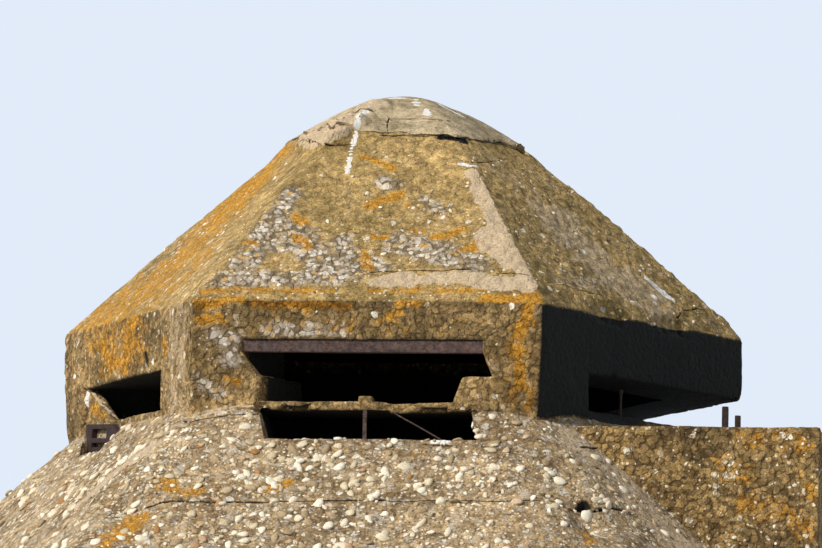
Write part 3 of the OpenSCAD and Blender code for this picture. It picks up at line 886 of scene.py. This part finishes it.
def concrete(name, dark, light, stones, grey, orange, relief, grain):
    """Old cast concrete with stains, sand, beach stones, pits and two lichens, and painted shade in its pits,
    flake gaps, recesses and cracks.
    """
    coat = Coat(name, 0.92)
    tree, times, plus, mark = coat.tree, coat.times, coat.plus, coat.mark
    mix, ramp, spread = coat.mix, coat.ramp, coat.between
    bend = coat.noise(coat.where, 4.0, 4.0, 0.6, "Color")
    bend = vector_node(tree, "SUBTRACT", {0: bend, 1: (0.5, 0.5, 0.5)})
    bend = vector_node(tree, "SCALE", {0: bend, "Scale": 0.16})
    bent = vector_node(tree, "ADD", {0: coat.where, 1: bend})
    mottle = coat.noise(bent, 9.0, 6.0, 0.7)
    sand = coat.noise(coat.where, 60.0, 5.0, 0.8)
    coarse = spread(mark("coarse"), 0.0, 1.0, 0.12)
    crust = spread(plus(mark("crust"), times(mottle, 1.6)), 1.00, 1.70)

    # Stained ground with sand
    colour = mix(spread(coat.noise(bent, 1.5, 8.0, 0.68), 0.36, 0.64), dark, light)
    colour = coat.shaded(colour, mottle, (0.32, (0.52, 0.50, 0.46)), (0.66, (1.42, 1.40, 1.36)))
    colour = coat.shaded(colour, sand, (0.34, (1 - 0.55 * grain,) * 3), (0.66, (1 + 0.55 * grain,) * 3))

    # Stones flush with the surface: scale, share of the cells, and distances of their edges
    layers = []
    for where, scale, share, rim, top, cover in (
            (coat.where, 26.0, min(1.0, stones * 1.1), 0.36, 0.30, 0.85),
            (bent, 13.0, stones * 0.55, 0.42, 0.37, 0.9)):
        distance, tone, chance = coat.cells(where, scale)
        bed = times(math_node(tree, "LESS_THAN", chance, share), coarse)
        layers.append(times(spread(distance, rim, top), bed))
        colour = mix(times(layers[-1], cover), colour, ramp(tone, STONE_TONES))
    small_stone, large_stone = layers

    # Pits, and a skin of lumps and flakes; the pits and the gaps between the flakes are darkened as painted
    # shade
    pit = spread(coat.cells(bent, 42.0)[0], 0.24, 0.12)
    pit = times(pit, spread(mottle, 0.60, 0.44))
    # Painted shade in the pits.
    colour = mix(times(pit, 0.75), colour, (0.05, 0.035, 0.02))
    flake_distance, flake_tone, _ = coat.cells(bent, 21.0)
    flake = spread(flake_distance, 0.80, 0.45)
    lump_tone_and_gap_shade = ramp(flake_tone, [(0.0, (0.60, 0.58, 0.55)), (1.0, (1.45, 1.43, 1.38))])
    # Lumps of random tone, with painted shade in the gaps between them.
    lump_tone_and_gap_shade = mix(flake, (0.42, 0.38, 0.33), lump_tone_and_gap_shade)
    colour = mix(relief, colour, lump_tone_and_gap_shade, "MULTIPLY")

    # Grey lichen, crust and orange lichen
    grey_patch = plus(coat.noise(bent, 8.5, 10.0, 0.80), times(mark("white"), 0.22))
    grey_patch = plus(grey_patch, times(coarse, 0.06))
    grey_patch = spread(grey_patch, 0.75 - 0.20 * grey, 0.83 - 0.20 * grey)
    grey_colour = ramp(sand, [(0.30, (0.30, 0.265, 0.215)), (0.62, (0.74, 0.67, 0.55))])
    colour = mix(times(grey_patch, 0.8), colour, grey_colour)
    crust_colour = ramp(flake_tone, CRUST_TONES)
    crust_colour = coat.shaded(crust_colour, sand, (0.34, (0.66,) * 3), (0.64, (1.3,) * 3))
    crust_colour = mix(flake, (0.17, 0.125, 0.070), crust_colour)
    colour = mix(times(crust, 0.85), colour, crust_colour)
    orange_field = vector_node(tree, "ADD", {0: bent, 1: (7.3, 2.1, 5.7)})
    orange_patch = plus(coat.noise(orange_field, 11.0, 11.0, 0.84), times(mark("lichen"), 0.34))
    orange_patch = spread(orange_patch, 0.74 - 0.20 * orange, 0.86 - 0.20 * orange)
    # The lichen takes the lumps' random tone and the painted shade between them.
    orange_colour = mix(relief, ramp(sand, LICHEN_TONES), lump_tone_and_gap_shade, "MULTIPLY")
    colour = mix(times(orange_patch, 0.9), colour, orange_colour)

    # Mortar, damp, droppings, then painted shade over recesses and the shaded side, and in cracks and holes
    mortar = spread(plus(mark("mortar"), times(mottle, 0.5)), 0.62, 0.86)
    mortar_colour = ramp(sand, [(0.32, (0.42, 0.305, 0.18)), (0.66, (0.84, 0.67, 0.47))])
    colour = mix(times(mortar, 0.8), colour, mortar_colour)
    colour = mix(mark("damp"), colour, (0.52, 0.48, 0.40), "MULTIPLY")
    white = spread(plus(mark("white"), times(mottle, 0.4)), 0.58, 0.80)
    colour = mix(white, colour, (0.92, 0.89, 0.82))
    # Painted shade: the marked places turn near black.
    colour = mix(mark("soot"), colour, (0.0075, 0.008, 0.006))
    # Painted shade in the cracks and holes, near black.
    colour = mix(spread(mark("crack"), 0.1, 0.6), colour, (0.012, 0.009, 0.006))

    height = times(mottle, 0.7)
    rough_skin = math_node(tree, "MAXIMUM", crust, relief)
    for layer, rise in ((sand, 0.45), (small_stone, 0.35), (large_stone, 0.5), (pit, -0.9),
                        (grey_patch, 0.12), (flake, rough_skin)):
        height = plus(height, times(layer, rise))
    return coat.finished(colour, height, 0.85, 0.016)


def rusted_steel():
    """Deep rust: dark scale with brown and orange flakes, and painted shade where the skin is marked for it.
    """
    coat = Coat("rusted_steel", 0.85)
    coat.shader.inputs["Metallic"].default_value = 0.15
    scale = coat.noise(coat.where, 22.0, 8.0, 0.75)
    flake, tone, _ = coat.cells(coat.where, 60.0)
    orange_flake = coat.times(coat.between(tone, 0.80, 0.97), 0.5)
    colour = coat.mix(orange_flake, coat.ramp(scale, RUST_TONES), (0.22, 0.10, 0.05))
    # Painted shade: near-black where marked.
    colour = coat.mix(coat.mark("soot"), colour, (0.022, 0.012, 0.012))
    return coat.finished(colour, coat.plus(scale, coat.times(flake, 0.5)), 0.8, 0.006)


def beach_pebble():
    """Worn beach pebble, each with its own tone."""
    coat = Coat("beach_pebble", 0.8)
    speckle = coat.noise(coat.where, 70.0, 4.0, 0.7)
    colour = coat.ramp(coat.mark("tone"), STONE_TONES)
    colour = coat.shaded(colour, speckle, (0.35, (0.7, 0.68, 0.64)), (0.65, (1.15, 1.14, 1.1)))
    return coat.finished(colour, speckle, 0.4, 0.004)


# Each concrete: dark and light ground, then how much beach stone, grey lichen, orange lichen,
# relief (bump, and painted shade between the flakes) and sandy grain it has
CONCRETES = {
    "apron_concrete": ((0.245, 0.165, 0.082), (0.53, 0.39, 0.225), 0.90, 0.85, 0.22, 0.55, 1.0),
    "wall_concrete": ((0.185, 0.128, 0.054), (0.42, 0.285, 0.128), 0.20, 0.45, 0.46, 0.75, 1.0),
    "room_concrete": ((0.10, 0.088, 0.065), (0.16, 0.14, 0.105), 0.2, 0.2, 0.0, 0.3, 1.0),
    "roof_concrete": ((0.33, 0.230, 0.086), (0.53, 0.365, 0.150), 0.25, 0.55, 0.42, 0.45, 1.0),
    "cap_mortar": ((0.40, 0.32, 0.195), (0.62, 0.50, 0.33), 0.15, 0.5, 0.15, 0.12, 0.7),
    "block_concrete": ((0.15, 0.100, 0.042), (0.43, 0.290, 0.122), 0.5, 0.40, 0.60, 0.90, 1.0),
}
MATERIALS = {name: concrete(name, *looks) for name, looks in CONCRETES.items()}
MATERIALS["rusted_steel"] = rusted_steel()
PEBBLE = beach_pebble()
frame["nodes"]["slit_post"].data.materials.clear()
frame["nodes"]["slit_post"].data.materials.append(MATERIALS["rusted_steel"])


# Skins of every solid

concrete_skins = [Skin(name) for name in CONCRETE_NODES]
steel_skins = [Skin(name, STEEL_SPACING) for name in STEEL_NODES]
WORN_EDGES = worn_edges()
PIECES = {}
for skin in concrete_skins + steel_skins:
    piece = weathered(skin, 0.3 if skin.name in STEEL_NODES else 1.0)
    piece.data.materials.append(MATERIALS[SLOTS[skin.name]])
    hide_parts(skin.name)
    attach(piece, "root")
    PIECES[skin.name] = piece


# Pebbles standing out of the concrete

def pebble_tree():
    """Geometry Nodes: flattened, uneven pebbles bedded in the shown faces of a skin."""
    tree = bpy.data.node_groups.new("bedded_pebbles", "GeometryNodeTree")
    for name, kind in (("Skin", "Geometry"), ("Per Square Metre", "Float"), ("Least Size", "Float"),
                       ("Greatest Size", "Float"), ("Seed", "Int"), ("Material", "Material")):
        tree.interface.new_socket(name, in_out="INPUT", socket_type="NodeSocket" + kind)
    tree.interface.new_socket("Pebbles", in_out="OUTPUT", socket_type="NodeSocketGeometry")
    given = tree.nodes.new("NodeGroupInput").outputs

    def step(kind, inputs, **settings):
        return add_node(tree, "GeometryNode" + kind, inputs, **settings)

    def drawn(low, high, seed):
        """Random number or vector for each pebble."""
        kind, output = ("FLOAT_VECTOR", 0) if isinstance(low, tuple) else ("FLOAT", 1)
        inputs = {"Min": low, "Max": high, "Seed": seed}
        return add_node(tree, "FunctionNodeRandomValue", inputs, data_type=kind)[output]

    bed = step("InputNamedAttribute", {"Name": "bed"}, data_type="FLOAT")["Attribute"]
    density = math_node(tree, "MULTIPLY", given["Per Square Metre"], bed)
    spread = {"Mesh": given["Skin"], "Density": density, "Seed": given["Seed"]}
    spread = step("DistributePointsOnFaces", spread)
    ball = step("MeshIcoSphere", {"Radius": 0.5, "Subdivisions": 2})["Mesh"]
    push = add_node(tree, "ShaderNodeTexNoise", {"Scale": 1.6, "Detail": 1.0})["Color"]
    push = vector_node(tree, "SUBTRACT", {0: push, 1: (0.5, 0.5, 0.5)})
    push = vector_node(tree, "SCALE", {0: push, "Scale": 0.5})
    ball = step("SetPosition", {"Geometry": ball, "Offset": push})[0]
    ball = step("SetShadeSmooth", {"Geometry": ball})[0]
    share = math_node(tree, "POWER", drawn(0.0, 1.0, 3), 2.2)
    size = {"Value": share, "To Min": given["Least Size"], "To Max": given["Greatest Size"]}
    size = add_node(tree, "ShaderNodeMapRange", size)[0]
    shape = drawn((0.75, 0.55, 0.26), (1.30, 1.0, 0.48), 5)
    shape = vector_node(tree, "SCALE", {0: shape, "Scale": size})
    pebbles = step("InstanceOnPoints", {"Points": spread["Points"], "Instance": ball,
                                        "Rotation": spread["Rotation"], "Scale": shape})[0]
    turn = drawn((-0.35, -0.35, 0.0), (0.35, 0.35, 6.28), 7)
    pebbles = step("RotateInstances", {"Instances": pebbles, "Rotation": turn})[0]
    pebbles = step("StoreNamedAttribute", {"Geometry": pebbles, "Name": "tone", "Value": drawn(0.2, 1.0, 9)},
                   data_type="FLOAT", domain="INSTANCE")[0]
    pebbles = step("RealizeInstances", {"Geometry": pebbles})[0]
    pebbles = step("SetMaterial", {"Geometry": pebbles, "Material": given["Material"]})[0]
    tree.links.new(pebbles, tree.nodes.new("NodeGroupOutput").inputs["Pebbles"])
    return tree


PEBBLE_TREE = pebble_tree()
SOCKETS = {item.name: item.identifier for item in PEBBLE_TREE.interface.items_tree}


def bed_pebbles(node, per_square_metre, least, greatest, seed):
    """Pebbles bedded in one piece, as a piece of their own. A face under painted shade, or hidden, gets none.
    """
    holder = new_object("pebbles_" + node, PIECES[node].data)
    modifier = holder.modifiers.new("bed", "NODES")
    modifier.node_group = PEBBLE_TREE
    for name, value in (("Per Square Metre", per_square_metre / COARSER), ("Least Size", least),
                        ("Greatest Size", greatest), ("Seed", seed), ("Material", PEBBLE)):
        modifier[SOCKETS[name]] = value
    holder.update_tag()
    bpy.context.view_layer.update()
    scene_now = bpy.context.evaluated_depsgraph_get()
    mesh = bpy.data.meshes.new_from_object(holder.evaluated_get(scene_now))
    bpy.data.objects.remove(holder)
    if not mesh.polygons:
        return
    mesh.name = "pebbles_" + node
    places = np.empty(len(mesh.vertices) * 3, np.float32)
    mesh.vertices.foreach_get("co", places)
    places = np.clip(places.reshape(-1, 3), CAD_LOW, CAD_HIGH)
    mesh.vertices.foreach_set("co", places.ravel())
    piece = new_object("pebbles_" + node, mesh)
    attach(piece, "root")


FACE_NAMES = ["front", "front_right", "back_right", "back", "back_left", "front_left"]
# Pebbles in each ring of pieces: how many on a square metre, their least and greatest size, first seed
PEBBLE_RINGS = {
    "apron_upper_": (135, 0.022, 0.115, 100), "apron_lower_": (100, 0.022, 0.115, 200),
    "roof_panel_": (45, 0.018, 0.050, 300), "hood_": (8, 0.014, 0.026, 400),
}
for number, face_name in enumerate(FACE_NAMES):
    for ring, (per_square_metre, least, greatest, first_seed) in PEBBLE_RINGS.items():
        bed_pebbles(ring + face_name, per_square_metre, least, greatest, first_seed + number)
bed_pebbles("side_block", 68, 0.018, 0.042, 500)


# Floor, light and background

def make_floor():
    bm = bmesh.new()
    bmesh.ops.create_circle(bm, cap_ends=True, radius=10.0, segments=128)
    mesh = bpy.data.meshes.new("floor")
    bm.to_mesh(mesh)
    bm.free()
    floor = new_object("floor", mesh)
    coat = Coat("pale_floor", 0.9)
    coat.shader.inputs["Base Color"].default_value = (0.72, 0.71, 0.69, 1)
    mesh.materials.append(coat.material)
    floor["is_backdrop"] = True


def make_light():
    """A soft sun from the left front, and a weak pale sky that is white to the camera."""
    sun = bpy.data.lights.new("sun", "SUN")
    sun.energy = 3.6
    sun.angle = math.radians(8)
    sun.color = (1.0, 0.965, 0.91)
    lamp = new_object("sun", sun)
    lamp.rotation_euler = Vector(TO_SUN).to_track_quat("Z", "Y").to_euler()
    world = bpy.data.worlds.new("pale_sky")
    bpy.context.scene.world = world
    world.use_nodes = True
    tree = world.node_tree
    backdrop = tree.nodes["Background"]
    backdrop.inputs["Color"].default_value = (0.80, 0.88, 1.0, 1)
    path = add_node(tree, "ShaderNodeLightPath", {})
    seen_by = math_node(tree, "MAXIMUM", path["Is Camera Ray"], path["Is Glossy Ray"])
    seen_by = math_node(tree, "MAXIMUM", seen_by, path["Is Transmission Ray"])
    tree.links.new(between(tree, seen_by, 0, 1, 0.30, 0.95), backdrop.inputs["Strength"])


make_floor()
make_light()
bpy.context.scene.view_settings.view_transform = "Standard"

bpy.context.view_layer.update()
triangles = {o.name: len(o.data.polygons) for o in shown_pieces() if o.type == "MESH"}
largest = sorted(triangles.items(), key=lambda item: -item[1])[:6]
print("triangles in all", sum(triangles.values()), "largest", largest)
